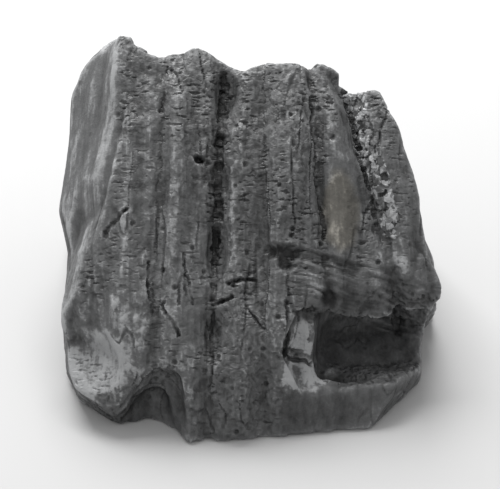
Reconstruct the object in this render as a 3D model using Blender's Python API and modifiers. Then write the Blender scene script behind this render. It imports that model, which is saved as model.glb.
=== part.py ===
"""A lump of charcoal: one chunk of charred, split wood, modelled at its real size in metres, +Z up.

The grain of the wood leans back from the near bottom edge to the far top edge, and the broad face that
looks forward and up runs along it. Both ends are broken across the grain. On the right of the lower end a
piece is missing between a foot and a lip that overhangs it. The lump rests on a small flat spot.
"""

import math

import bmesh
import bpy
from mathutils import Vector, noise

MM = 0.001

# Driving dimensions
GRAIN_LEAN = math.radians(42)  # slope of the grain above the surface that the lump stands on
SLAB_DEPTH = 92 * MM  # depth of the split chunk behind its broad face, before the ground plane cuts it
FACE_PROUD = 8 * MM  # spare wood in front of the broad face, which the face planes cut away
FACE_LENGTH = 82 * MM  # length of the broad face along the grain
VOXEL = 0.75 * MM  # grid size that fuses the cut chunk into one skin
SKIN_TRIANGLES = 11400  # triangles kept in the finished skin
FLAT_SPOT = {"at": (0, 37), "reach": (17, 15)}  # where the lump rests, in millimetres
BASE_WEAR = 0.3 * MM  # thickness worn off the resting spot to make it flat

GRAIN = Vector((0, math.cos(GRAIN_LEAN), math.sin(GRAIN_LEAN)))
FACE_NORMAL = Vector((0, -math.sin(GRAIN_LEAN), math.cos(GRAIN_LEAN)))

# Outline of the chunk seen square on to its broad face, in millimetres: across the grain, and along it
OUTLINE = [
    (-31, -8), (-36, 6), (-40, 15), (-40, 28), (-39.5, 41), (-40.8, 50), (-39.5, 63),
    (-38.5, 80), (-31, 87), (-20, 83), (-8, 83), (-2, 78), (3, 80), (14, 80), (17.5, 79),
    (23, 76.5), (27, 75.5), (31.7, 66), (34.7, 56), (36.8, 44), (40, 34), (40.5, 30), (37, 24),
    (36.5, 12), (31, 6), (24, -4), (0, -9),
]

# Faces along which the chunk split or broke: a point in millimetres, and the direction that the face looks
SPLIT_FACES = {
    "upper_face": ((0, 58, 57), (0.04, -0.47, 0.88)),
    "middle_face": ((0, 34, 44.5), (0.03, -0.64, 0.77)),
    "lower_face": ((25, 1, 0), (0.10, -0.88, 0.47)),
    "lower_left": ((-33, 3, 8), (-0.24, -0.75, 0.62)),
    "left_toe": ((-30, 2, 4), (-0.35, -0.93, 0.12)),
    "left_fin": ((-28, 37.5, 47.4), (-0.80, -0.30, 0.52)),
    "left_band": ((-33, 25, 36.5), (-0.72, -0.32, 0.66)),
    "right_strip": ((30, 40, 44), (0.44, -0.50, 0.75)),
    "crest": ((0, 64, 59.5), (0.05, 0.20, 0.97)),
    "upper_break": ((0, 72, 54), (0.10, 0.83, 0.55)),
    "back": ((0, 81, 26), (-0.08, 0.99, -0.12)),
    "back_left": ((-36, 70, 26), (-0.80, 0.58, 0.12)),
    "back_right": ((28, 68, 24), (0.72, 0.66, 0.20)),
    "back_foot": ((0, 75, 5), (0.05, 0.62, -0.78)),
    "near_left_foot": ((-34.5, 5.5, 5), (-0.60, -0.66, -0.42)),
    "near_right_foot": ((28.5, 5.5, 1), (0.80, -0.57, -0.18)),
    "ground": ((0, 0, 0), (0, 0, -1)),
}

# The missing piece on the right, as sections from left to right: how far across, then depth and height of
# the shelf's open end, front edge, low point and back, the inner corner, the lip's lower and upper edge, and
# the open front
MISSING_PIECE = [
    (5.0, [(-14, 17), (0, 17.3), (5, 17.8), (7, 18), (9, 22), (11, 26), (13, 30), (-14, 36)]),
    (10.0, [(-14, 8), (5, 8.5), (9, 9.5), (10.5, 11), (15, 21), (14, 24.5), (19.5, 34.5), (-14, 41)]),
    (13.0, [(-14, 8), (6, 8.6), (9, 9.5), (11.5, 11), (16, 20.5), (15, 23), (20, 33.5), (-14, 41)]),
    (15.5, [(-14, 8), (8, 8.8), (15, 7), (22, 9), (23, 18.7), (16, 21), (20.3, 33), (-14, 42)]),
    (28.0, [(-14, 8.5), (8.5, 9.3), (17, 5.5), (27, 7.5), (28, 16.8), (17, 16.8), (19, 30.9), (-14, 41)]),
    (37.0, [(-14, 8.8), (9, 9.3), (18, 6), (28, 8), (28, 17), (18.5, 17.5), (19.6, 26.5), (-14, 38)]),
    (48.0, [(-14, 9), (9.5, 9.3), (19, 6.5), (29, 8.5), (29, 17), (19, 18), (19.5, 23), (-14, 35)]),
]

# The flake that is missing low on the left, as sections in the same way, around the terrace that it left
MISSING_FLAKE = [
    (-48.0, [(-14, 5), (9, 8), (17, 13), (32, 36), (-14, 48)]),
    (-34.0, [(-14, 6), (5, 8.5), (13.5, 13), (24, 33), (-14, 46)]),
    (-29.0, [(-14, 8), (4, 10.5), (9, 14), (17, 26), (-14, 40)]),
    (-25.0, [(-14, 12), (-3, 12), (2, 14), (6, 19), (-14, 30)]),
]

# The steep hollow beside it, in the same way, which is open below
HOLLOW = [
    (-30.0, [(-14, -4), (0.5, -4), (1, 3), (0.5, 6), (-14, 10)]),
    (-26.0, [(-14, -4), (2.5, -4), (4.5, 5), (4.5, 12), (-14, 20)]),
    (-20.0, [(-14, -4), (3, -4), (6.5, 6), (6.2, 15.5), (-14, 25)]),
    (-15.5, [(-14, -4), (-1, -4), (3, 6), (4.5, 14), (-14, 24)]),
    (-13.0, [(-14, -4), (-6, -4), (-2, 4), (-1, 7), (-14, 14)]),
]

# Grooves between the strips of the broad face, in millimetres: place across the grain at the near and far
# end, width, depth, and how far the strip on the right of the groove stands proud
GROOVES = [
    (-22.0, -18.0, 1.4, 1.2, 0.5),
    (-9.5, -5.2, 2.3, 3.6, 1.2),
    (3.5, 2.6, 1.3, 1.0, 1.6),
    (18.7, 11.5, 1.5, 2.0, 0.0),
    (37.7, 17.8, 2.0, 2.6, -0.8),
]
# How far a groove wanders sideways and in what length, and the share of its depth that it has from place to
# place
GROOVE_SWAY = {"by": 0.7 * MM, "every": 14 * MM}
GROOVE_UNEVEN = {"least": 0.3, "middle": 0.8, "by": 0.7, "every": 9 * MM}

# Ridges and swells of the skin: height, width, how many times longer they are along the grain, and a shift
RIDGES = [
    (1.5 * MM, 8 * MM, 7, (0.5, 6, 3)),
    (1.0 * MM, 3.4 * MM, 6, (9, 4, 2)),
    (1.3 * MM, 17 * MM, 1, (3, 1, 7)),
]

# Thin splits along the grain on the flanks, and cracks around blocks of char on the broad face: depth, size
# across, along and into the wood, and the share of that size which the opening takes up
LONG_SPLITS = {"depth": 1.8 * MM, "size": (11, 99, 11), "shift": (1.5, 6, 9), "share": 0.12}
CROSS_CHECKS = {"depth": 0.6 * MM, "size": (7, 9, 7), "share": 0.14}

# Bundles of fibres on the broken far end: size across the grain, how far they step, and how far they tilt
BUNDLES = {"size": (6, 3.5), "step": 1.8 * MM, "tilt": 1.5 * MM}

UNDERSIDE_SHARE = 0.4  # how much of the relief stays on what looks down
HANG = 0.6 * MM  # how far the underside keeps clear of the ground around the flat spot

# Places that split clean, where the relief fades: middle and reach across the grain, along it and out of it
CLEAN_PLACES = {
    "foot": ((21, 4, 2), (17, 8, 7)),
    "recess": ((24, 20, -6), (17, 8, 10)),
    "terrace": ((-33, 14, 3), (7, 6.5, 6)),
}
CLEAN_SHARE = 0.8
CALM_HEIGHT = 9 * MM  # the relief fades towards the ground below this height


def clear_scene():
    for obj in list(bpy.data.objects):
        bpy.data.objects.remove(obj)


def collection(name):
    made = bpy.data.collections.new(name)
    bpy.context.scene.collection.children.link(made)
    return made


def split_chunk(target):
    """The outline as a thick slab that leans with the grain, cut by the planes of the split faces."""
    curve = bpy.data.curves.new("outline", "CURVE")
    curve.dimensions = "2D"
    curve.fill_mode = "BOTH"
    curve.extrude = (SLAB_DEPTH + FACE_PROUD) / 2
    spline = curve.splines.new("POLY")
    spline.points.add(len(OUTLINE) - 1)
    for point, (across, along) in zip(spline.points, OUTLINE):
        point.co = (across * MM, along * MM, 0, 1)
    spline.use_cyclic_u = True
    guide = bpy.data.objects.new("outline", curve)
    target.objects.link(guide)
    guide.rotation_euler = (GRAIN_LEAN, 0, 0)
    guide.location = FACE_NORMAL * (FACE_PROUD - SLAB_DEPTH) / 2
    mesh = evaluated_mesh(guide)
    mesh.transform(guide.matrix_world)
    bpy.data.objects.remove(guide)
    bm = bmesh.new()
    bm.from_mesh(mesh)
    bmesh.ops.remove_doubles(bm, verts=bm.verts[:], dist=0.01 * MM)
    for point, normal in SPLIT_FACES.values():
        cut_by_plane(bm, Vector(point) * MM, Vector(normal).normalized())
    bmesh.ops.recalc_face_normals(bm, faces=bm.faces[:])
    return add_object("charcoal_lump", bm, target)


def cut_by_plane(bm, point, normal):
    """Removes what lies in front of the plane and closes the cut."""
    everything = bm.verts[:] + bm.edges[:] + bm.faces[:]
    cut = bmesh.ops.bisect_plane(
        bm, geom=everything, dist=1e-7, plane_co=point, plane_no=normal, clear_outer=True
    )
    rim = [part for part in cut["geom_cut"] if isinstance(part, bmesh.types.BMEdge)]
    if rim:
        bmesh.ops.triangle_fill(bm, edges=rim, use_beauty=True, use_dissolve=False)


def add_object(name, bm, target):
    mesh = bpy.data.meshes.new(name)
    bm.to_mesh(mesh)
    bm.free()
    made = bpy.data.objects.new(name, mesh)
    target.objects.link(made)
    return made


def subtract(body, name, bm, target):
    """Cuts the shape in bm out of the body."""
    bmesh.ops.recalc_face_normals(bm, faces=bm.faces[:])
    cutter = add_object(name, bm, target)
    cutter.hide_render = True
    cutter.display_type = "WIRE"
    less = body.modifiers.new("less_" + name, "BOOLEAN")
    less.operation = "DIFFERENCE"
    less.solver = "EXACT"
    less.object = cutter


def loft(sections):
    """A closed body through the sections."""
    bm = bmesh.new()
    rings = []
    for across, section in sections:
        rings.append([bm.verts.new(Vector((across, depth, height)) * MM) for depth, height in section])
    for ring, following in zip(rings, rings[1:]):
        for i in range(len(ring)):
            j = (i + 1) % len(ring)
            bm.faces.new((ring[i], ring[j], following[j], following[i]))
    bm.faces.new(rings[0])
    bm.faces.new(rings[-1])
    bmesh.ops.triangulate(bm, faces=bm.faces[:])
    return bm


def evaluated_mesh(obj):
    bpy.context.view_layer.update()
    graph = bpy.context.evaluated_depsgraph_get()
    return bpy.data.meshes.new_from_object(obj.evaluated_get(graph))


def bake(obj):
    """Replaces the object's mesh by what its modifiers make of it."""
    mesh = evaluated_mesh(obj)
    obj.modifiers.clear()
    obj.data = mesh


def fuse(obj):
    remesh = obj.modifiers.new("fuse", "REMESH")
    remesh.mode = "VOXEL"
    remesh.voxel_size = VOXEL
    bake(obj)


def strip_relief(across, along):
    """Height of the strips of the broad face, less the depth of the grooves between them."""
    strip = groove = 0
    for near, far, width, depth, rise in GROOVES:
        middle = (near + (far - near) * along / FACE_LENGTH) * MM
        middle += GROOVE_SWAY["by"] * noise.noise(Vector((near, along / GROOVE_SWAY["every"], 0)))
        away = (across - middle) / (width * MM)
        uneven = GROOVE_UNEVEN["by"] * noise.noise(Vector((near, along / GROOVE_UNEVEN["every"], 5)))
        deep = max(GROOVE_UNEVEN["least"], GROOVE_UNEVEN["middle"] + uneven)
        groove += depth * MM * deep * math.exp(-away * away)
        if away > 0:
            strip = rise * MM
    return strip - groove


def grain_ridges(across, along, height):
    """Ridges that run along the grain, with a low swell of the whole surface."""
    out = 0
    for rise, width, stretch, shift in RIDGES:
        out += rise * noise.noise(Vector((across, along / stretch, height)) / width + Vector(shift))
    return out


def cell_place(place, size):
    """The place, in millimetres, counted in cells of the size."""
    return Vector([at / MM / step for at, step in zip(place, size)])


def long_splits(across, along, height):
    """Thin splits that open along the grain."""
    place = cell_place((across, along, height), LONG_SPLITS["size"]) + Vector(LONG_SPLITS["shift"])
    split = max(0, 1 - abs(noise.noise(place)) / LONG_SPLITS["share"])
    return -LONG_SPLITS["depth"] * split


def cross_checks(across, along, height):
    """Cracks around blocks of char, where the wood shrank."""
    distances, _ = noise.voronoi(cell_place((across, along, height), CROSS_CHECKS["size"]))
    crack = max(0, 1 - (distances[1] - distances[0]) / CROSS_CHECKS["share"])
    return -CROSS_CHECKS["depth"] * crack * crack


def broken_end(across, height):
    """Bundles of fibres that snapped at different places: each stands at its own height."""
    place = cell_place((across, height), BUNDLES["size"]).to_3d() + Vector((0, 0, 4))
    _, centres = noise.voronoi(place)
    step = noise.cell(centres[0] * 7.3) - 0.5
    tilt = noise.noise(centres[0] * 5.1) * (place.x - centres[0].x)
    return BUNDLES["step"] * step + BUNDLES["tilt"] * tilt


def share(value, start, full):
    """Nothing up to the start, rising to one."""
    return min(1, max(0, (value - start) / (full - start)))


def clean_share(across, along, height):
    """One in the middle of a clean place, falling to nothing past its edge."""
    nearest = math.inf
    for middle, reach in CLEAN_PLACES.values():
        steps = [(at / MM - m) / r for at, m, r in zip((across, along, height), middle, reach)]
        nearest = min(nearest, math.hypot(*steps))
    return share(-nearest, -1.2, -0.8)


def resting_share(point):
    """One on the flat spot, falling to nothing around it."""
    east = (point.x / MM - FLAT_SPOT["at"][0]) / FLAT_SPOT["reach"][0]
    north = (point.y / MM - FLAT_SPOT["at"][1]) / FLAT_SPOT["reach"][1]
    return share(-math.hypot(east, north), -1.3, -1)


def relief(point, normal):
    """How far the skin stands out from the split faces."""
    across, along, height = point.x, point.dot(GRAIN), point.dot(FACE_NORMAL)
    on_face = share(normal.dot(FACE_NORMAL), 0.6, 0.8)
    on_end = share(normal.dot(GRAIN), 0.5, 0.75)
    out = grain_ridges(across, along, height)
    out += on_face * (strip_relief(across, along) + cross_checks(across, along, height))
    out += on_end * broken_end(across, height)
    out += (1 - on_face) * (1 - on_end) * long_splits(across, along, height)
    out *= 1 - CLEAN_SHARE * clean_share(across, along, height)
    out *= min(1, 0.3 + point.z / CALM_HEIGHT)
    out *= 1 - (1 - UNDERSIDE_SHARE) * share(-normal.z, 0, 0.5)
    on_ground = share(-normal.z, 0.8, 0.925)
    hung = -abs(out) - HANG
    out += on_ground * (hung * (1 - resting_share(point)) - out)
    return out


def raise_relief(obj):
    moves = [vertex.normal * relief(vertex.co, vertex.normal) for vertex in obj.data.vertices]
    for vertex, move in zip(obj.data.vertices, moves):
        vertex.co += move


def islands(bm):
    """The separate pieces of a mesh, each as a set of its vertices."""
    waiting = set(bm.verts)
    found = []
    while waiting:
        reached = [waiting.pop()]
        piece = set()
        while reached:
            vertex = reached.pop()
            piece.add(vertex)
            for edge in vertex.link_edges:
                other = edge.other_vert(vertex)
                if other in waiting:
                    waiting.remove(other)
                    reached.append(other)
        found.append(piece)
    return found


def drop_crumbs(obj):
    """Keeps the lump and deletes the crumbs that its relief has cut loose."""
    bm = bmesh.new()
    bm.from_mesh(obj.data)
    pieces = sorted(islands(bm), key=len)
    crumbs = [vertex for piece in pieces[:-1] for vertex in piece]
    bmesh.ops.delete(bm, geom=crumbs, context="VERTS")
    bm.to_mesh(obj.data)
    bm.free()


def thin_out(obj):
    triangles = sum(len(face.vertices) - 2 for face in obj.data.polygons)
    thin = obj.modifiers.new("thin", "DECIMATE")
    thin.ratio = SKIN_TRIANGLES / triangles
    bake(obj)


def stand_on_origin(obj):
    """Wears the resting spot flat, and puts the middle of the lump's underside on the origin."""
    bm = bmesh.new()
    bm.from_mesh(obj.data)
    cut_by_plane(bm, Vector((0, 0, BASE_WEAR)), Vector((0, 0, -1)))
    xs = [vertex.co.x for vertex in bm.verts]
    ys = [vertex.co.y for vertex in bm.verts]
    middle = Vector(((min(xs) + max(xs)) / 2, (min(ys) + max(ys)) / 2, BASE_WEAR))
    bmesh.ops.translate(bm, verts=bm.verts[:], vec=-middle)
    bmesh.ops.triangulate(bm, faces=bm.faces[:])
    bmesh.ops.recalc_face_normals(bm, faces=bm.faces[:])
    bm.to_mesh(obj.data)
    bm.free()


def char():
    material = bpy.data.materials.new("char")
    material.use_nodes = True
    shader = material.node_tree.nodes["Principled BSDF"]
    shader.inputs["Base Color"].default_value = (0.055, 0.055, 0.056, 1)
    shader.inputs["Roughness"].default_value = 0.75
    return material


def main():
    clear_scene()
    whole = collection("charcoal_lump")
    cutters = collection("cutters")
    lump = split_chunk(whole)
    subtract(lump, "missing_piece", loft(MISSING_PIECE), cutters)
    subtract(lump, "missing_flake", loft(MISSING_FLAKE), cutters)
    subtract(lump, "hollow", loft(HOLLOW), cutters)
    bake(lump)
    fuse(lump)
    raise_relief(lump)
    fuse(lump)
    drop_crumbs(lump)
    thin_out(lump)
    stand_on_origin(lump)
    lump.data.materials.clear()
    lump.data.materials.append(char())


main()
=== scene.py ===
# %% [markdown]
# # A lump of charcoal
# Lump charcoal is wood that was heated without air until little but carbon was left. Nothing was pressed or
# moulded, so a lump still shows how the wood grew and how it split: long grooves and fibres run along the
# grain, short checks cross it where the wood shrank, and the ends are broken into steps.
#
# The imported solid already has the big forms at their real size. This lesson turns it into a finer skin,
# carves the fine structure of charred wood into that skin, and gives it a matte black with a faint gloss.

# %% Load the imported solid
import math

import bmesh
import bpy
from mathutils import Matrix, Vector


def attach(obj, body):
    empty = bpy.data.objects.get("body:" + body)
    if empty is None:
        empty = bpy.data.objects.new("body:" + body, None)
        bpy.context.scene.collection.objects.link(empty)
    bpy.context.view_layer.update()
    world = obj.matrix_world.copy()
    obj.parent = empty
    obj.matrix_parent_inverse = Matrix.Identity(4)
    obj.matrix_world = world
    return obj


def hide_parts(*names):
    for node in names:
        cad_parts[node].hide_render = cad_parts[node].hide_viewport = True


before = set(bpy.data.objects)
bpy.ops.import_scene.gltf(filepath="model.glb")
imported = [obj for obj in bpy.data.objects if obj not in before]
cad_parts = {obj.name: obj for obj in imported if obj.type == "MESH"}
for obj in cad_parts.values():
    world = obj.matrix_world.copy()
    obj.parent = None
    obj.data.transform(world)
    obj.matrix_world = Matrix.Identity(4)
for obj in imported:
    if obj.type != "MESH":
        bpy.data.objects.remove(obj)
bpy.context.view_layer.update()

# %% [markdown]
# ## Measuring along the grain
# Everything in wood follows the grain, so every pattern below is measured in three directions: across the
# grain, along it, and out of the broad face. The lump lies with its grain leaning back, so these are not
# the world's X, Y and Z. Three unit vectors and the place of the near, lower end are enough to turn one
# into the other, and the same few numbers shaped the solid.
#
# Growth rings are round, so the pith of the trunk is given too. It lies far behind the broad face, because
# this chunk was split from the outside of a thick log.

# %% The directions of the grain
MM = 0.001
GRAIN_LEAN = math.radians(42)
NEAR_END = Vector((0.545, -39.894, -0.3)) * MM
ACROSS = Vector((1, 0, 0))
GRAIN = Vector((0, math.cos(GRAIN_LEAN), math.sin(GRAIN_LEAN)))
FACE_NORMAL = Vector((0, -math.sin(GRAIN_LEAN), math.cos(GRAIN_LEAN)))
PITH = {"across": -6, "out": -78}
PITH_TO_FACE = 86
print("grain leans at", round(math.degrees(GRAIN_LEAN)), "degrees; pith to face:", PITH_TO_FACE, "mm")

# %% [markdown]
# ## A finer skin
# The solid is made of about eleven thousand triangles, enough for physics but too coarse for cracks that
# are half a millimetre wide. Subdividing would keep the long thin triangles, so the copy is rebuilt on a
# fine voxel grid, where every face has nearly the same size, and then smoothed a little to take off the
# solid's facets. The grid also keeps the skin closed.


# %% Rebuild the skin on a fine grid
def evaluated_copy(obj):
    """What the object's modifiers make of it, as a plain mesh."""
    bpy.context.view_layer.update()
    graph = bpy.context.evaluated_depsgraph_get()
    return bpy.data.meshes.new_from_object(obj.evaluated_get(graph))


def bake(obj):
    """Puts that mesh in place of the object's own, and clears its modifiers."""
    mesh = evaluated_copy(obj)
    obj.modifiers.clear()
    obj.data = mesh
    return len(mesh.polygons)


GRID = 0.36 * MM
SAME_PLACE = 0.01 * MM
solid = bpy.data.objects["charcoal_lump"]
skin_mesh = solid.data.copy()
skin_mesh.transform(solid.matrix_world)
skin_mesh.materials.clear()
bm = bmesh.new()
bm.from_mesh(skin_mesh)
bmesh.ops.remove_doubles(bm, verts=bm.verts[:], dist=SAME_PLACE)
bmesh.ops.recalc_face_normals(bm, faces=bm.faces[:])
bm.to_mesh(skin_mesh)
bm.free()
lump = bpy.data.objects.new("charred_lump", skin_mesh)
bpy.context.scene.collection.objects.link(lump)
regrid = lump.modifiers.new("regrid", "REMESH")
regrid.mode = "VOXEL"
regrid.voxel_size = GRID
soften = lump.modifiers.new("soften", "SMOOTH")
soften.factor = 0.5
soften.iterations = 5
print("faces on the fine grid:", bake(lump))

# %% [markdown]
# ## Helpers that add nodes and do sums
# The marking, the carving and the material are all node trees, and geometry and shader trees share their
# arithmetic. Wiring each node by hand would hide the idea behind dozens of links, so a few small functions
# add a node, give it its inputs and return what comes out.


# %% Helpers that add nodes and do sums
def add(tree, kind, inputs=None, **settings):
    """A new node; an input is given as a value or as another node's output."""
    node = tree.nodes.new(kind)
    for name, value in settings.items():
        setattr(node, name, value)
    for socket, value in (inputs or {}).items():
        if isinstance(value, bpy.types.NodeSocket):
            tree.links.new(value, node.inputs[socket])
        else:
            node.inputs[socket].default_value = value
    return node


def calc(tree, operation, *values, clamp=False):
    """One arithmetic step, as the output that holds its result."""
    inputs = dict(enumerate(values))
    return add(tree, "ShaderNodeMath", inputs, operation=operation, use_clamp=clamp).outputs[0]


def total(tree, *values):
    """The sum of all the values."""
    result = values[0]
    for value in values[1:]:
        result = calc(tree, "ADD", result, value)
    return result


def product(tree, *values):
    """All the values multiplied."""
    result = values[0]
    for value in values[1:]:
        result = calc(tree, "MULTIPLY", result, value)
    return result


def vector(tree, operation, first, second=(0, 0, 0), scale=1.0):
    """One step with vectors."""
    inputs = {0: first, "Scale": scale} if operation == "SCALE" else {0: first, 1: second}
    node = add(tree, "ShaderNodeVectorMath", inputs, operation=operation)
    measured = operation in ("DOT_PRODUCT", "DISTANCE", "LENGTH")
    return node.outputs["Value" if measured else "Vector"]


def ramp(tree, value, low, high, to_low=0.0, to_high=1.0):
    """Turns the range low..high smoothly into to_low..to_high."""
    inputs = {"Value": value, "From Min": low, "From Max": high, "To Min": to_low, "To Max": to_high}
    return add(tree, "ShaderNodeMapRange", inputs, interpolation_type="SMOOTHSTEP").outputs["Result"]


def x_part(tree, value):
    return add(tree, "ShaderNodeSeparateXYZ", {0: value}).outputs[0]


def z_part(tree, value):
    return add(tree, "ShaderNodeSeparateXYZ", {0: value}).outputs[2]


print("sum helpers ready")

# %% [markdown]
# ## Helpers that give a place in the wood
# Patterns of wood are long and thin, so they are looked up at a place that is squeezed along the grain. The
# same place can be counted round the pith, for what follows the growth rings, or bent a little, so that the
# edges of what is drawn there turn ragged.


# %% Helpers that give a place in the wood
def wood_place(tree, position):
    """The position as (across, along, out), in millimetres from the near, lower end, and its parts."""
    from_end = vector(tree, "SUBTRACT", position, NEAR_END)
    directions = (ACROSS, GRAIN, FACE_NORMAL)
    parts = [vector(tree, "DOT_PRODUCT", from_end, direction / MM) for direction in directions]
    return add(tree, "ShaderNodeCombineXYZ", dict(enumerate(parts))).outputs[0], parts


def ring_place(tree, parts):
    """The same place as (round the pith, along, away from the pith), in millimetres."""
    across, along, out = parts
    beside = calc(tree, "SUBTRACT", across, PITH["across"])
    above = calc(tree, "SUBTRACT", out, PITH["out"])
    round_pith = calc(tree, "MULTIPLY", calc(tree, "ARCTAN2", beside, above), PITH_TO_FACE)
    squares = total(tree, product(tree, beside, beside), product(tree, above, above))
    from_pith = calc(tree, "SQRT", squares)
    return add(tree, "ShaderNodeCombineXYZ", {0: round_pith, 1: along, 2: from_pith}).outputs[0]


def stretched(tree, place, across, along, shift=0.0):
    """The place measured in units of the given lengths, in millimetres."""
    size = (1 / across, 1 / along, 1 / across)
    return vector(tree, "ADD", vector(tree, "MULTIPLY", place, size), (shift, shift, shift))


def bent(tree, place, size, amount, shift=0.0):
    """The place moved about by a few millimetres, so that what is drawn there turns ragged."""
    inputs = {"Vector": stretched(tree, place, size, size, shift=shift), "Scale": 1.0, "Detail": 2.0}
    waves = add(tree, "ShaderNodeTexNoise", inputs).outputs["Color"]
    move = vector(tree, "SCALE", vector(tree, "SUBTRACT", waves, (0.5, 0.5, 0.5)), scale=amount)
    return vector(tree, "ADD", place, move)


def inside(tree, place, middle, reach, soft=0.2):
    """One inside an egg with this middle and reach, falling to nothing outside it."""
    inverse = tuple(1 / length for length in reach)
    share = vector(tree, "MULTIPLY", vector(tree, "SUBTRACT", place, middle), inverse)
    return ramp(tree, vector(tree, "LENGTH", share), 1 - soft, 1 + soft, 1.0, 0.0)


def from_line(tree, place, start, end):
    """The distance from a line between two places, seen square on to the broad face."""
    axis = Vector((end[0] - start[0], end[1] - start[1], 0))
    flat = vector(tree, "MULTIPLY", place, (1, 1, 0))
    reached = vector(tree, "SUBTRACT", flat, (start[0], start[1], 0))
    along_line = vector(tree, "DOT_PRODUCT", reached, axis)
    share = calc(tree, "MULTIPLY", along_line, 1 / axis.length_squared, clamp=True)
    return vector(tree, "DISTANCE", reached, vector(tree, "SCALE", axis, scale=share))


print("place helpers ready")

# %% [markdown]
# ## Helpers that look up a texture
# All patterns come from two textures: soft noise for what swells and fades, and irregular cells for what
# breaks into pieces. Nothing is painted, so the skin has no seams and no repeats.


# %% Helpers that look up a texture
def cloud(tree, place, detail=2.0, roughness=0.5, distortion=0.0):
    """Soft noise from 0 to 1."""
    inputs = {"Vector": place, "Scale": 1.0, "Detail": detail, "Roughness": roughness}
    inputs["Distortion"] = distortion
    return add(tree, "ShaderNodeTexNoise", inputs).outputs[0]


def ripple(tree, place, height, detail=2.0, roughness=0.5):
    """Soft noise that rises and falls by about half the height, in millimetres."""
    return product(tree, calc(tree, "SUBTRACT", cloud(tree, place, detail, roughness), 0.5), height)


def patches(tree, place, size, low, high, shift):
    """One in some patches of about this size, longer along the grain, and nothing in the others."""
    noise = cloud(tree, stretched(tree, place, size, 1.6 * size, shift=shift), detail=1)
    return ramp(tree, noise, low, high)


def cells(tree, place, feature="DISTANCE_TO_EDGE"):
    """Irregular cells: the distance to their edges, or to their middles with a random colour for each."""
    inputs = {"Vector": place, "Scale": 1.0, "Randomness": 1.0}
    node = add(tree, "ShaderNodeTexVoronoi", inputs, feature=feature)
    return node.outputs["Distance"], node.outputs.get("Color")


print("texture helpers ready")

# %% [markdown]
# ## Helpers for geometry groups
# A geometry group here takes the skin in, works on every vertex, and hands the skin on. Its settings are
# named inputs, so that they can be changed on the modifier. A value that a later step needs is stored on
# the vertices under a name.


# %% Helpers for geometry groups
def new_group(name, sockets):
    """An empty Geometry Nodes group with a geometry in and out and the named inputs."""
    tree = bpy.data.node_groups.new(name, "GeometryNodeTree")
    tree.interface.new_socket("Geometry", in_out="INPUT", socket_type="NodeSocketGeometry")
    for socket, kind in sockets:
        tree.interface.new_socket(socket, in_out="INPUT", socket_type=kind)
    tree.interface.new_socket("Geometry", in_out="OUTPUT", socket_type="NodeSocketGeometry")
    return tree, add(tree, "NodeGroupInput"), add(tree, "NodeGroupOutput")


def use_group(obj, tree, values):
    """Adds the group to the object, with each input set by its socket's identifier."""
    modifier = obj.modifiers.new(tree.name, "NODES")
    modifier.node_group = tree
    for item in tree.interface.items_tree:
        if item.in_out == "INPUT" and item.name in values:
            modifier[item.identifier] = values[item.name]
    return modifier


def keep(tree, geometry, name, value):
    """Stores the value on every vertex under this name."""
    inputs = {"Geometry": geometry, "Name": name, "Value": value}
    return add(tree, "GeometryNodeStoreNamedAttribute", inputs).outputs[0]


def kept(tree, name):
    """The value that was stored under this name."""
    return add(tree, "GeometryNodeInputNamedAttribute", {"Name": name}, data_type="FLOAT").outputs[0]


def finish(tree, geometry, result, material=None):
    """Ends the group: real geometry, with its material if one is given."""
    geometry = add(tree, "GeometryNodeRealizeInstances", {0: geometry}).outputs[0]
    if material:
        dress = add(tree, "GeometryNodeSetMaterial", {"Geometry": geometry, "Material": material})
        geometry = dress.outputs[0]
    tree.links.new(geometry, result.inputs[0])
    return tree


print("group helpers ready")

# %% [markdown]
# ## Marking the parts of the surface
# A lump of charcoal does not look the same all over. The broad face is coarse and checked, the split faces
# beside it are smoother, and the ends show the rings. There are also single places: a terrace low on the
# left that gets painted light, a hollow beside it in painted shade, the recess under the lip in painted
# shade with a painted highlight on a chip at its left end, and a strip that kept a trace of brown. This step
# only marks them. It stores a few shares on every vertex, and both the carving and the material read them,
# so a place and its finish cannot drift apart.

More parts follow.
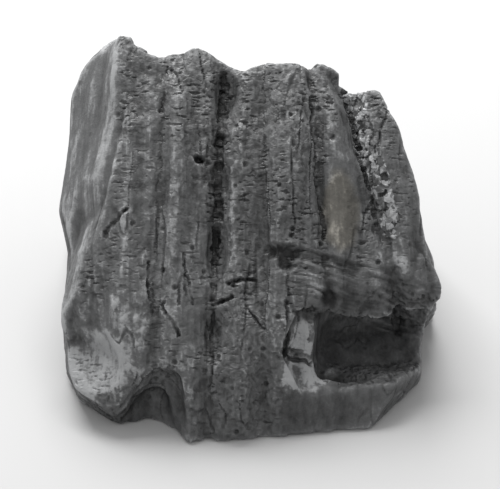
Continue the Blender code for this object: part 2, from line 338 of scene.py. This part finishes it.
# %% Places that look unlike the rest
# Middle and reach of each place as (across, along, out) in millimetres, how much lighter it is than the
# rest, and how much smoother. Where a place faces or hides from the light, its lighter or darker tone is
# painted light or painted shade
PLACES = {
    "left_strip": ((-21, 36, 10), (12.5, 34, 14), 0.07, 0.45),
    "right_strip": ((33, 55, 3), (5.5, 22, 12), 0.0, 0.5),
    "tongue": ((0.5, 19, 8), (7.5, 10, 7), 0.03, 0.35),
    # Painted light: the terrace and the skin above it face up, so light from above makes them lighter
    "terrace": ((-33.5, 14.8, 4), (8.6, 6.6, 8), 0.44, 0.6),
    "above_terrace": ((-30, 23, 6), (9, 7, 8), 0.17, 0.5),
    # Painted shade on the toe, in the hollow and in the recess under the lip
    "toe": ((-30, 2, -1), (10, 5, 6), -0.30, 0.0),
    "hollow": ((-20, 6, 2), (6.5, 7.5, 6), -0.04, 0.9),
    "recess": ((26, 19, -8), (20, 9, 10), -0.03, 1.0),
    # Painted highlight on the chip and its end, which catch the light at the edge of the shaded recess
    "chip": ((10.8, 22, 2), (2.0, 4.4, 5), 0.55, 0.3),
    "chip_end": ((10.6, 18.8, 3), (2.4, 1.5, 5), 0.75, 0.3),
    "patch": ((11, 12.3, 3.5), (5.4, 3.8, 5), 0.48, 0.4),
    "foot": ((20, 4, 2), (16, 8, 6), -0.08, 1.0),
    "rim": ((26, 11.5, -1), (14, 2.4, 5), -0.12, 1.0),
    # Painted shade on the steep face of the lip and below its left part
    "lip": ((25, 31, 5), (20, 5.5, 6), -0.06, 0.8),
    "lip_shade": ((17, 27.0, 4), (8, 3.4, 7), -0.26, 0.9),
    "lip_tip": ((12.2, 32.2, 7), (3, 2.2, 5), 0.16, 0.6),
    # Painted shadow under the ledge and in the cavity where the strips end
    "ledge": ((17, 36.3, 7), (7.5, 2.6, 6), -0.12, 0.4),
    "strip_end": ((6.8, 37.6, 8.5), (3.6, 2.6, 4), -0.36, 0.2),
    "bottom": ((-6, 2, 4), (22, 5, 6), -0.06, 0.3),
    "brown_strip": ((19, 50, 7.5), (4.8, 13, 6), 0.07, 0.9),
}
# Soft shade or light along a line: start and end as (across, along), reach, and how much lighter it is
TONED_LINES = {
    "groove_1_high": ((-6.4, 76), (-8.4, 40), 3.8, -0.25),
    "groove_1_low": ((-8.2, 31), (-9.2, 20), 1.8, -0.14),
    "groove_2": ((12.8, 68), (15.0, 42), 1.6, -0.08),
    "beside_groove_1": ((-4.0, 60), (-4.6, 38), 2.2, 0.09),
    "right_strip_end": ((28.5, 38.0), (33.5, 35.4), 2.6, 0.24),
}
BROWN_PLACE = ((19, 47.5, 7.5), (4, 8.5, 5))
WHORL_PLACE = ((0, 19, 8), (7.5, 10, 7))
SPARKLING_LINE = {"start": (22.3, 73), "end": (30, 44), "half_width": 2.4}

# The waves in the edges of all these places, in millimetres
EDGE_WAVES = {"size": 4, "amount": 4}

# The smooth fin on the left: how far across its edge is at the top, below what length it leans outwards,
# between which distances from the edge it fades, and how much painted light it gets from the upper left
FIN_EDGE = {"across": -28, "bends_at": 60, "slope": 0.3, "fades": (-1.5, 0.5)}
FIN_PAINTED_LIGHT = 0.21
print("places:", ", ".join(PLACES))

# %% [markdown]
# ## Storing the marks
# The direction that the skin faces says whether it belongs to the broad face, to a flank or to a broken
# end. It is blurred first, because single facets point everywhere. Each mark could be a vertex group
# painted by hand, but a rule in millimetres is easier to read and to move.


# %% The marking group
# How squarely the skin faces out of the broad face where it begins to count as front or as broad face, and
# where it fully does, and the same for how squarely an end faces along the grain
FACING = {"front": (0.2, 0.45), "broad": (0.62, 0.86), "end": (0.5, 0.75)}


def marking_group():
    tree, given, result = new_group("mark_places", [("Blur Rounds", "NodeSocketInt")])
    position = add(tree, "GeometryNodeInputPosition").outputs[0]
    place, (across, along, _) = wood_place(tree, position)
    ragged = bent(tree, place, **EDGE_WAVES)

    blur = add(tree, "GeometryNodeBlurAttribute", data_type="FLOAT_VECTOR")
    tree.links.new(add(tree, "GeometryNodeInputNormal").outputs[0], blur.inputs["Value"])
    tree.links.new(given.outputs["Blur Rounds"], blur.inputs["Iterations"])
    normal = vector(tree, "NORMALIZE", blur.outputs["Value"])
    facing = vector(tree, "DOT_PRODUCT", normal, FACE_NORMAL)
    ending = calc(tree, "ABSOLUTE", vector(tree, "DOT_PRODUCT", normal, GRAIN))

    lean = calc(tree, "MAXIMUM", calc(tree, "SUBTRACT", FIN_EDGE["bends_at"], along), 0.0)
    from_edge = calc(tree, "SUBTRACT", across, FIN_EDGE["across"])
    beyond = calc(tree, "MULTIPLY_ADD", lean, FIN_EDGE["slope"], from_edge)
    calm = ramp(tree, beyond, *FIN_EDGE["fades"], to_low=1.0, to_high=0.0)
    front = ramp(tree, facing, *FACING["front"])
    # Painted light on the fin, then the lightness of each place, which is painted light, painted shade or
    # its own tone
    tone_and_painted_light = product(tree, calm, front, FIN_PAINTED_LIGHT)
    for middle, reach, lighter, smoother in PLACES.values():
        share = inside(tree, ragged, middle, reach)
        tone_and_painted_light = total(tree, tone_and_painted_light, product(tree, share, lighter))
        calm = calc(tree, "MAXIMUM", calm, product(tree, share, smoother))
    for start, end, reach, lighter in TONED_LINES.values():
        shade = ramp(tree, from_line(tree, ragged, start, end), 0.2 * reach, reach, lighter, 0.0)
        tone_and_painted_light = total(tree, tone_and_painted_light, product(tree, shade, front))
    sparkle = from_line(tree, ragged, SPARKLING_LINE["start"], SPARKLING_LINE["end"])
    sparkle = ramp(tree, sparkle, 0.7 * SPARKLING_LINE["half_width"], SPARKLING_LINE["half_width"], 1.0, 0.0)

    marks = {
        "front": front,
        "coarse": product(tree, ramp(tree, facing, *FACING["broad"]), calc(tree, "SUBTRACT", 1.0, calm)),
        "calm": calm,
        "end_grain": ramp(tree, ending, *FACING["end"]),
        "tone_and_painted_light": tone_and_painted_light,
        "brown": inside(tree, ragged, *BROWN_PLACE),
        "whorl": inside(tree, ragged, *WHORL_PLACE),
        "sparkle": product(tree, sparkle, front),
    }
    geometry = given.outputs["Geometry"]
    for name, value in marks.items():
        geometry = keep(tree, geometry, name, value)
    return finish(tree, geometry, result)


use_group(lump, marking_group(), {"Blur Rounds": 12})
bake(lump)
print("marks:", [attribute.name for attribute in lump.data.attributes if attribute.data_type == "FLOAT"])

# %% [markdown]
# ## Carving the char
# Charred wood has structure at several sizes. From large to small: the slits and cracks that can be pointed
# at, the layers of the broken lip, strands and rings of the wood, splits along them, the small blocks and
# cross-grain checks of the broad face, pits where resin boiled out, and the fibres themselves. Each is a
# texture that pushes the skin in or out along its normal. Geometry Nodes suit this, because one rule covers
# the whole surface, and each depth is a named input that can be changed while looking at the result.

# %% Cracks that can be pointed at
# Start and end as (across, along), half width and depth, all in millimetres. A notch is as deep all along
CRACKS = {
    "groove_1_high": ((-5.6, 78), (-7.3, 44), 0.9, 1.1),
    "groove_1_middle": ((-7.3, 44), (-8.0, 28), 0.7, 1.0),
    "groove_1_low": ((-8.0, 28), (-9.0, 8), 0.4, 0.6),
    "groove_2": ((12.6, 72), (15.2, 41), 0.35, 0.7),
    "groove_3_high": ((19.6, 76), (23.2, 61), 0.6, 1.2),
    "groove_3_low": ((23.2, 61), (27.4, 43), 0.4, 0.7),
    "left_seam": ((-18.4, 80), (-21.0, 26), 0.3, 0.3),
    "middle_seam": ((2.7, 80), (3.3, 46), 0.25, 0.25),
    "cross_high": ((-4.8, 31.6), (0.6, 32.6), 0.5, 1.4),
    "cross_low": ((-8.0, 27.0), (-3.8, 28.4), 0.5, 1.3),
    "fin_slit": ((-31.2, 43.0), (-26.3, 47.6), 0.45, 1.3),
    "pit": ((-11.8, 58.8), (-9.3, 57.8), 0.8, 2.2),
    "slant_1": ((-19.2, 27.2), (-15.6, 20.2), 0.4, 1.0),
    "slant_2": ((-14.3, 38.0), (-13.6, 29.0), 0.3, 0.7),
    "slant_3": ((-22.0, 36.0), (-21.4, 28.0), 0.3, 0.6),
    "tongue_seam": ((-1.5, 27.0), (2.5, 21.5), 0.3, 0.6),
    "lens_left": ((-14.6, 33.5), (-15.4, 27.0), 0.25, 0.5),
    "lens_right": ((-13.4, 33.5), (-12.4, 27.0), 0.25, 0.5),
}
NOTCHES = {
    "strip_end": ((4.8, 38.4), (9.2, 38.0), 1.5, 1.4),
    "strip_end_tip": ((6.6, 37.6), (7.8, 35.2), 1.3, 1.4),
    "chip_left": ((7.8, 27.4), (7.6, 17.0), 0.45, 0.9),
    "chip_below": ((8.4, 16.2), (13.0, 15.6), 0.55, 0.9),
}

# The lip's layers run down to the right: their slope, and between which lengths at its left end they lie.
# Its ledge is sunk just below the highest of them, and fades to the right
LAYERS = {"slope": 0.25, "low": 31, "high": 41.5, "starts_at": 6, "height": 1.1}
LEDGE = {"from_below": 4, "to_below": 0.6, "depth": 0.6, "fades_at": 20, "fades_over": 8}
RING_WIDTH = 2.3
print("cracks:", ", ".join([*CRACKS, *NOTCHES]))

# %% [markdown]
# ## Sizes and depths of the patterns
# Every pattern has a size across and along the grain. Long thin sizes give fibres and strands, sizes that
# are alike give blocks, grains and pits. The depths are the inputs of the carving group.

# %% Patterns
# Size across and along the grain in millimetres, and a shift that sets the pattern apart from the others.
# Where the size along the grain is many times the other, the pattern runs in lines
PATTERNS = {
    "strands": (2.8, 26, 0),
    "fibres": (0.8, 9, 41),
    "ring_waves": (8, 30, 19),
    "whorls": (5, 6.5, 83),
    "splits": (7, 48, 7),
    "blocks": (1.8, 2.3, 0),
    "checks": (2.2, 0.7, 0),
    "holes": (3.1, 3.7, 31),
    "grains": (1.8, 2.2, 51),
    "facets": (1.5, 1.9, 71),
    "layers": (11, 1.5, 61),
    "crack_depths": (3, 4, 13),
    "pores": (0.9, 40, 97),
}

# Some places are bent before a pattern is looked up there: size of the waves and how far they reach, in
# millimetres, and a shift
BENDS = {
    "cracks_wide": (9, 2.4, 3),
    "cracks_fine": (1.3, 1.1, 0),
    "layers": (6, 2, 0),
    "blocks": (3, 2.4, 0),
    "facets": (2, 1, 0),
}

# Patterns that show only in patches: size of a patch in millimetres, between which values of the noise it
# fades in, and a shift
PATCHES = {
    "splits": (10, 0.45, 0.62, 11),
    "blocks": (8, 0.3, 0.55, 20),
    "checks": (6, 0.4, 0.6, 25),
}

# Heights and depths in millimetres. The cracks have their own depths, and take a share of them
CARVING = {
    "Crack Share": 1.0,
    "Layer Height": 1.0,
    "Strand Height": 0.55,
    "Ring Height": 0.1,
    "Whorl Height": 0.06,
    "Split Depth": 0.4,
    "Block Height": 0.2,
    "Check Depth": 0.34,
    "Pit Depth": 0.6,
    "Pore Depth": 0.3,
    "Fibre Height": 0.4,
    "Grain Height": 0.65,
    "Facet Height": 0.9,
}
CALM_NEAR_FLOOR = (0.3 * MM, 2.5 * MM)
WHORL_LINES = 9

# The share of its depth that a crack keeps in its shallowest stretches
SHALLOWEST_SHARE = 0.25

# How much weaker strands, rings and splits get where the skin is calm, and how much weaker fibres get there
CALM_WEAKENS = {"strands": 0.7, "fibres": 0.5}

# How much of the grains and pits shows away from the coarse face, and how much stronger rings are on an end
SHOWS_ANYWHERE = {"grains": 0.3, "pits": 0.15}
STRONGER_RINGS = 0.4
print("patterns:", ", ".join(PATTERNS))

# %% [markdown]
# ## Cracks and layers
# Each function from here on gives one pattern as a height or a depth. The cracks of the table are straight
# lines, but they are drawn at a bent place, so they come out ragged. The lip is different: its broken face
# shows thin layers of wood, so it gets long streaks that run down to the right.


# %% Cracks and layers
def pattern_place(tree, place, name):
    across, along, shift = PATTERNS[name]
    return stretched(tree, place, across, along, shift=shift)


def deepest_cut(tree, place, table):
    """The depth of the cuts in the table, which go no deeper where they cross."""
    deepest = 0.0
    for start, end, half_width, depth in table.values():
        away = from_line(tree, place, start, end)
        cut = ramp(tree, away, 0.2 * half_width, 1.4 * half_width, depth, 0.0)
        deepest = calc(tree, "MAXIMUM", deepest, cut)
    return deepest


def named_cracks(tree, place):
    """The depth of the cracks in the tables, with ragged sides, and deeper in some stretches."""
    ragged = bent(tree, bent(tree, place, *BENDS["cracks_wide"]), *BENDS["cracks_fine"])
    noise = cloud(tree, pattern_place(tree, place, "crack_depths"))
    uneven = ramp(tree, noise, 0.38, 0.62, SHALLOWEST_SHARE, 1.0)
    cracks = product(tree, deepest_cut(tree, ragged, CRACKS), uneven)
    deepest = calc(tree, "MAXIMUM", cracks, deepest_cut(tree, ragged, NOTCHES))
    return product(tree, deepest, kept(tree, "front"))


def lip_layers(tree, across, along):
    """Thin layers on the broken face of the lip, under a ledge where the strips end."""
    level = calc(tree, "MULTIPLY_ADD", across, LAYERS["slope"], along)
    run = calc(tree, "MULTIPLY_ADD", along, -LAYERS["slope"], across)
    spot = add(tree, "ShaderNodeCombineXYZ", {0: run, 1: level}).outputs[0]
    wavy = bent(tree, spot, *BENDS["layers"])
    streaks = ripple(tree, pattern_place(tree, wavy, "layers"), LAYERS["height"])
    top = LAYERS["high"]
    ledge = ramp(tree, level, top - LEDGE["from_below"], top - LEDGE["to_below"], 0.0, -LEDGE["depth"])
    fades_out = LEDGE["fades_at"] + LEDGE["fades_over"]
    ledge = product(tree, ledge, ramp(tree, across, LEDGE["fades_at"], fades_out, 1.0, 0.0))
    where = product(
        tree,
        ramp(tree, level, LAYERS["low"], LAYERS["low"] + 1.5),
        ramp(tree, level, top, top + 0.8, 1.0, 0.0),
        ramp(tree, across, LAYERS["starts_at"], LAYERS["starts_at"] + 3),
    )
    return product(tree, total(tree, streaks, ledge), where)


print("cuts:", len(CRACKS) + len(NOTCHES))

# %% [markdown]
# ## Patterns of the wood
# Some of the structure was there before the fire: growth rings, the curls near a knot, vessels that the
# broken ends cut through, and planes along which wood likes to split. They follow the grain and the pith, so
# they are looked up at places that are counted that way.


# %% Patterns of the wood
def thin_splits(tree, rings):
    """Thin lines along the grain, where stretched noise passes its middle value."""
    noise = cloud(tree, pattern_place(tree, rings, "splits"), detail=1.5)
    line = ramp(tree, calc(tree, "ABSOLUTE", calc(tree, "SUBTRACT", noise, 0.5)), 0.0, 0.02, 1.0, 0.0)
    return product(tree, line, patches(tree, rings, *PATCHES["splits"]))


def wave(tree, phase):
    """A smooth wave that repeats each time the phase grows by one."""
    return calc(tree, "SINE", product(tree, phase, 2 * math.pi))


def growth_rings(tree, rings):
    """Low waves around the pith, which show as arcs on the ends and as lines on the split faces."""
    number = calc(tree, "DIVIDE", z_part(tree, rings), RING_WIDTH)
    return wave(tree, total(tree, number, ripple(tree, pattern_place(tree, rings, "ring_waves"), 1.5)))


def whorls(tree, place):
    """Curling lines, as around a knot, where noise passes one level after another."""
    curl = cloud(tree, pattern_place(tree, place, "whorls"), detail=0.5, distortion=1.2)
    return wave(tree, product(tree, curl, WHORL_LINES))


def open_pores(tree, place):
    """Small holes where the broken ends cut through the vessels of the wood."""
    return ramp(tree, cloud(tree, pattern_place(tree, place, "pores"), detail=1), 0.5, 0.7)


print("ring width:", RING_WIDTH, "mm")

# %% [markdown]
# ## Patterns of the fire
# The rest came with the heat. Wood shrinks by about a quarter as it chars, so its face parts into small
# blocks, with short cracks across the grain. Gas and resin boil out and leave round pits. Blocks, pits and
# broken bits have edges, so they are made from cells. Only the short cracks are noise, stretched across the
# grain.


# %% Patterns of the fire
def small_blocks(tree, place):
    """Rounded blocks of char, each at its own height, with soft valleys between them."""
    spot = pattern_place(tree, bent(tree, place, *BENDS["blocks"]), "blocks")
    edge, _ = cells(tree, spot)
    _, colour = cells(tree, spot, "F1")
    lift = calc(tree, "SUBTRACT", x_part(tree, colour), 0.5)
    valley = ramp(tree, edge, 0.0, 0.35, 0.6, 0.0)
    return product(tree, calc(tree, "SUBTRACT", lift, valley), patches(tree, place, *PATCHES["blocks"]))


def cross_checks(tree, place):
    """Short cracks across the grain."""
    dashes = ramp(tree, cloud(tree, pattern_place(tree, place, "checks"), detail=1), 0.57, 0.68)
    return product(tree, dashes, patches(tree, place, *PATCHES["checks"]))


def resin_pits(tree, place):
    """Round holes in the middle of some cells."""
    to_middle, colour = cells(tree, pattern_place(tree, place, "holes"), "F1")
    chosen = ramp(tree, x_part(tree, colour), 0.55, 0.75)
    return product(tree, ramp(tree, to_middle, 0.08, 0.24, 1.0, 0.0), chosen)


def tilted_facets(tree, place):
    """Small bits that stand at different heights."""
    _, colour = cells(tree, pattern_place(tree, bent(tree, place, *BENDS["facets"]), "facets"), "F1")
    return calc(tree, "SUBTRACT", x_part(tree, colour), 0.4)


print("patterns that show in patches:", ", ".join(PATCHES))

# %% [markdown]
# ## Carving the skin
# The group adds up what stands out, takes away what is sunk, and moves each vertex along its normal by the
# result. The stored marks say where a pattern belongs: blocks and checks to the coarse parts of the broad
# face, pores to the broken ends, curls to the place near the knot. Close to the floor the carving fades, so
# that the lump keeps the flat spot that it rests on.


# %% Carve
def carving_group(depths):
    tree, given, result = new_group("carve_char", [(name, "NodeSocketFloat") for name in depths])
    position = add(tree, "GeometryNodeInputPosition").outputs[0]
    place, parts = wood_place(tree, position)
    rings = ring_place(tree, parts)
    coarse = kept(tree, "coarse")
    lively = calc(tree, "MULTIPLY_ADD", kept(tree, "calm"), -CALM_WEAKENS["strands"], 1.0)
    grainy = calc(tree, "MULTIPLY_ADD", coarse, 1 - SHOWS_ANYWHERE["grains"], SHOWS_ANYWHERE["grains"])
    ringed = total(tree, lively, product(tree, kept(tree, "end_grain"), STRONGER_RINGS))
    plain = calc(tree, "MULTIPLY_ADD", kept(tree, "calm"), -CALM_WEAKENS["fibres"], 1.0)
    strands = ripple(tree, pattern_place(tree, rings, "strands"), 1.0)
    fibres = ripple(tree, pattern_place(tree, rings, "fibres"), 1.0, detail=3, roughness=0.6)
    grains = ripple(tree, pattern_place(tree, place, "grains"), 1.0, detail=3, roughness=0.65)
    raised = {
        "Layer Height": lip_layers(tree, parts[0], parts[1]),
        "Strand Height": product(tree, strands, lively),
        "Ring Height": product(tree, growth_rings(tree, rings), ringed),
        "Whorl Height": product(tree, whorls(tree, place), kept(tree, "whorl")),
        "Block Height": product(tree, small_blocks(tree, place), coarse),
        "Fibre Height": product(tree, fibres, plain),
        "Grain Height": product(tree, grains, grainy),
        "Facet Height": product(tree, tilted_facets(tree, place), kept(tree, "sparkle")),
    }
    sunk = {
        "Crack Share": named_cracks(tree, place),
        "Split Depth": product(tree, thin_splits(tree, rings), lively),
        "Check Depth": product(tree, cross_checks(tree, place), coarse),
        "Pore Depth": product(tree, open_pores(tree, place), kept(tree, "end_grain")),
        "Pit Depth": product(tree, resin_pits(tree, place), total(tree, coarse, SHOWS_ANYWHERE["pits"])),
    }
    up = total(tree, *[product(tree, value, given.outputs[name]) for name, value in raised.items()])
    down = total(tree, *[product(tree, value, given.outputs[name]) for name, value in sunk.items()])
    off_floor = ramp(tree, z_part(tree, position), *CALM_NEAR_FLOOR)
    push = product(tree, calc(tree, "SUBTRACT", up, down), off_floor, MM)
    normal = add(tree, "GeometryNodeInputNormal").outputs[0]
    offset = vector(tree, "SCALE", normal, scale=push)
    moved = add(tree, "GeometryNodeSetPosition", {"Geometry": given.outputs["Geometry"], "Offset": offset})
    return finish(tree, moved.outputs[0], result)


use_group(lump, carving_group(CARVING), CARVING)
print("faces after carving:", bake(lump))

# %% [markdown]
# ## Fewer triangles where the skin is flat
# The grid spends as many faces on a smooth split face as on a crack. Collapsing the least useful edges
# brings their number down, and the cracks keep their shape.

# %% Thin the skin out
MOST_TRIANGLES = 190000
FLOOR = 0.0
triangles = sum(len(face.vertices) - 2 for face in lump.data.polygons)
thin = lump.modifiers.new("thin", "DECIMATE")
thin.ratio = min(1, MOST_TRIANGLES / triangles)
print("triangles:", triangles, "->", bake(lump))
for vertex in lump.data.vertices:
    vertex.co.z = max(vertex.co.z, FLOOR)

# %% [markdown]
# ## Painted shade in cracks and painted light on rims
# The material paints shade into the bottoms of cracks and hollows and light onto the rims of the blocks. The
# difference between a point and the average of its neighbourhood, measured along the normal, says which is
# which. It is stored on the skin at two sizes, and the material reads it.


# %% Store how hollow the skin is
# The name that the result is stored under, the input that it is judged against, and the rounds of blur
HOLLOW_SIZES = [("fine_hollow", "Fine Depth", 3), ("wide_hollow", "Wide Depth", 24)]
HOLLOWS = {"Fine Depth": 0.12 * MM, "Wide Depth": 0.7 * MM}


def hollowness_group():
    sockets = [(depth, "NodeSocketFloat") for _, depth, _ in HOLLOW_SIZES]
    tree, given, result = new_group("measure_hollows", sockets + [("Material", "NodeSocketMaterial")])
    geometry = given.outputs["Geometry"]
    normal = add(tree, "GeometryNodeInputNormal").outputs[0]
    for name, depth, rounds in HOLLOW_SIZES:
        position = add(tree, "GeometryNodeInputPosition").outputs[0]
        blur = add(tree, "GeometryNodeBlurAttribute", data_type="FLOAT_VECTOR")
        tree.links.new(position, blur.inputs["Value"])
        blur.inputs["Iterations"].default_value = rounds
        offset = vector(tree, "SUBTRACT", blur.outputs["Value"], position)
        share = calc(tree, "DIVIDE", vector(tree, "DOT_PRODUCT", offset, normal), given.outputs[depth])
        geometry = keep(tree, geometry, name, calc(tree, "MULTIPLY_ADD", share, 0.5, 0.5, clamp=True))
    return finish(tree, geometry, result, given.outputs["Material"])


print("hollows:", ", ".join(name for name, _, _ in HOLLOW_SIZES))

# %% [markdown]
# ## The finish of char
# Carbon is nearly black, but it is not a flat black, and clean broken faces have a faint graphite gloss. The
# base colour is one grey scale that is read by the stored hollowness, which paints shade into cracks and
# light onto high places, by the mark of each place, which holds painted light and shade as well as real
# tone, and by noise that is stretched along the grain. Roughness varies in small cells, so that some of them
# glint, and along the sparkling line some cells also get painted glints in the base colour.

# %% Greys of char
# How light the surface is from 0 to 1, and the grey there. Char is a little cool, and the strip that was
# charred least is a little warm
GREYS = [
    (0.00, 0.010),
    (0.25, 0.034),
    (0.50, 0.072),
    (0.75, 0.118),
    (1.00, 0.340),
]
# Noise in the greys: size across and along the grain in millimetres, a shift, and how strongly it shows
MOTTLES = {
    "streaks": (0.5, 6, 0, 0.26),
    "grains": (0.45, 0.4, 9, 0.34),
    "spots": (2.6, 3.2, 29, 0.26),
    "clouds": (9, 16, 17, 0.24),
}
CHAR_TINT = (0.985, 1.0, 1.015)
BROWN_TINT = (1.07, 1.0, 0.87, 1)
# How much painted shade the hollows get and how much painted light the rims get, at each size
HOLLOW_SHADE_AND_RIM_LIGHT = {"fine_hollow": 0.45, "wide_hollow": 0.3}

# Cells that each catch the light their own way: size across and along the grain in millimetres and a shift,
# how rough they are, and how much smoother they are along the sparkling line. There, those with a random
# value in the range of "bright" or above it also get a painted glint, "lighter" says how much lighter
GLINT_CELLS = {"across": 0.9, "along": 1.2, "shift": 23}
GLINTS = {"rough": (0.75, 0.45), "smoother": 0.12, "bright": (0.55, 0.75), "lighter": 0.7}
BUMP = {"Strength": 0.5, "Distance": 0.2 * MM}
print("greys:", GREYS)

# %% [markdown]
# ## The material
# Four sizes of noise make the greys uneven: fibres, grains of dust, spots of a few millimetres and broad
# clouds. Their strengths are shares of the scale above. The finest two also drive a faint bump, since they
# are thinner than the skin's triangles.


# %% The char material
def mottle(tree, place, name, **noise):
    across, along, shift, _ = MOTTLES[name]
    return ripple(tree, stretched(tree, place, across, along, shift=shift), 1.0, **noise)


def char_material():
    material = bpy.data.materials.new("char")
    material.use_nodes = True
    tree = material.node_tree
    tree.nodes.clear()
    shader = add(tree, "ShaderNodeBsdfPrincipled")
    add(tree, "ShaderNodeOutputMaterial", {0: shader.outputs[0]})
    place, parts = wood_place(tree, add(tree, "ShaderNodeTexCoord").outputs["Object"])
    rings = ring_place(tree, parts)
    stored = {}
    for name in ("fine_hollow", "wide_hollow", "tone_and_painted_light", "brown", "sparkle"):
        stored[name] = add(tree, "ShaderNodeAttribute", attribute_name=name).outputs["Fac"]

    noises = {
        "streaks": mottle(tree, rings, "streaks", detail=4, roughness=0.65),
        "grains": mottle(tree, place, "grains", detail=3, roughness=0.7),
        "spots": mottle(tree, place, "spots", detail=1),
        "clouds": mottle(tree, place, "clouds"),
    }
    _, colour = cells(tree, stretched(tree, place, **GLINT_CELLS), "F1")
    glint = x_part(tree, colour)
    # Painted glints: along the sparkling line, the chosen cells are lighter in the base colour
    painted_glints = product(tree, stored["sparkle"], ramp(tree, glint, *GLINTS["bright"]), GLINTS["lighter"])
    uneven = [product(tree, noise, MOTTLES[name][-1]) for name, noise in noises.items()]
    lightness = total(tree, 0.5, stored["tone_and_painted_light"], painted_glints, *uneven)
    # Painted shade where the skin is hollow, painted light where it stands out
    for name, share in HOLLOW_SHADE_AND_RIM_LIGHT.items():
        depth = calc(tree, "SUBTRACT", stored[name], 0.5)
        lightness = calc(tree, "MULTIPLY_ADD", depth, -share, lightness, clamp=True)

    greys = add(tree, "ShaderNodeValToRGB", {0: lightness})
    while len(greys.color_ramp.elements) < len(GREYS):
        greys.color_ramp.elements.new(0.5)
    for element, (at, grey) in zip(greys.color_ramp.elements, GREYS):
        element.position = at
        element.color = (*[grey * share for share in CHAR_TINT], 1)
    layers = {0: stored["brown"], 6: greys.outputs[0], 7: BROWN_TINT}
    tint = add(tree, "ShaderNodeMix", layers, data_type="RGBA", blend_type="MULTIPLY")
    tree.links.new(tint.outputs[2], shader.inputs["Base Color"])

    rough = ramp(tree, glint, 0.0, 1.0, *GLINTS["rough"])
    rough = calc(tree, "SUBTRACT", rough, product(tree, stored["sparkle"], GLINTS["smoother"]))
    tree.links.new(rough, shader.inputs["Roughness"])

    bumps = calc(tree, "MULTIPLY_ADD", noises["streaks"], 0.5, product(tree, noises["grains"], 0.7))
    bump = add(tree, "ShaderNodeBump", {**BUMP, "Height": bumps})
    tree.links.new(bump.outputs[0], shader.inputs["Normal"])
    return material


char = char_material()
print("material nodes:", len(char.node_tree.nodes))

# %% [markdown]
# ## Dressing the skin
# The group that measures the hollows also sets the material. After that the skin is a plain mesh. It moves
# with the root body, takes the place of the solid in the picture, and fills its material slot.

# %% Dress the skin
use_group(lump, hollowness_group(), {**HOLLOWS, "Material": char})
print("faces measured:", bake(lump))
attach(lump, "root")
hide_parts("charcoal_lump")

# %% [markdown]
# ## Floor and light
# In the photograph the ground is white, and the shadow in front of the lump is pale and soft. So the light
# here is large and comes from above and behind: a broad lamp, a little to the left, and bright surroundings
# that fill the rest. A smaller lamp would draw every crack harder, but would also cut a sharp shadow.

# %% Floor and light
FLOOR_REACH = 3.0
FLOOR_GREY = 0.54
LAMP_PLACE = Vector((-0.1, 0.38, 0.52))
LAMP_TARGET = Vector((0, 0, 0.02))
SURROUNDINGS = 0.6
floor_mesh = bpy.data.meshes.new("floor")
corners = [(-1, -1), (1, -1), (1, 1), (-1, 1)]
floor_mesh.from_pydata([(x * FLOOR_REACH, y * FLOOR_REACH, 0) for x, y in corners], [], [(0, 1, 2, 3)])
floor = bpy.data.objects.new("floor", floor_mesh)
bpy.context.scene.collection.objects.link(floor)
paper = bpy.data.materials.new("paper")
paper.use_nodes = True
paper_shader = paper.node_tree.nodes["Principled BSDF"]
paper_shader.inputs["Base Color"].default_value = (FLOOR_GREY, FLOOR_GREY, FLOOR_GREY, 1)
paper_shader.inputs["Roughness"].default_value = 0.9
paper_shader.inputs["Specular IOR Level"].default_value = 0.1
floor_mesh.materials.append(paper)


def lamp(name, place, size, watts):
    """A square soft lamp that points at the lump."""
    data = bpy.data.lights.new(name, "AREA")
    data.shape = "SQUARE"
    data.size = size
    data.energy = watts
    obj = bpy.data.objects.new(name, data)
    bpy.context.scene.collection.objects.link(obj)
    obj.location = place
    obj.rotation_euler = (LAMP_TARGET - obj.location).to_track_quat("-Z", "Y").to_euler()


lamp("top", LAMP_PLACE, size=0.45, watts=6.8)
world = bpy.data.worlds.new("studio")
bpy.context.scene.world = world
world.use_nodes = True
world.node_tree.nodes["Background"].inputs["Color"].default_value = (1, 1, 1, 1)
world.node_tree.nodes["Background"].inputs["Strength"].default_value = SURROUNDINGS
bpy.context.scene.view_settings.view_transform = "Standard"

# %% [markdown]
# ## Camera
# The camera looks down at 38 degrees with a long lens, from the side that the broad face looks to. The
# long lens keeps the sides of the lump parallel, as they are in the photograph.

# %% Camera
ELEVATION = math.radians(38)
DISTANCE = 0.75
LOOK_AT = Vector((0.0003, -0.0066, 0.0255))
FRAME_WIDTH = 0.108
SENSOR = 36
camera_data = bpy.data.cameras.new("camera")
camera_data.sensor_width = SENSOR
camera_data.lens = SENSOR * DISTANCE / FRAME_WIDTH
camera = bpy.data.objects.new("camera", camera_data)
bpy.context.scene.collection.objects.link(camera)
back = Vector((0, -math.cos(ELEVATION), math.sin(ELEVATION)))
camera.location = LOOK_AT + back * DISTANCE
camera.rotation_euler = (-back).to_track_quat("-Z", "Y").to_euler()
bpy.context.scene.camera = camera
print("lens:", round(camera_data.lens), "mm")
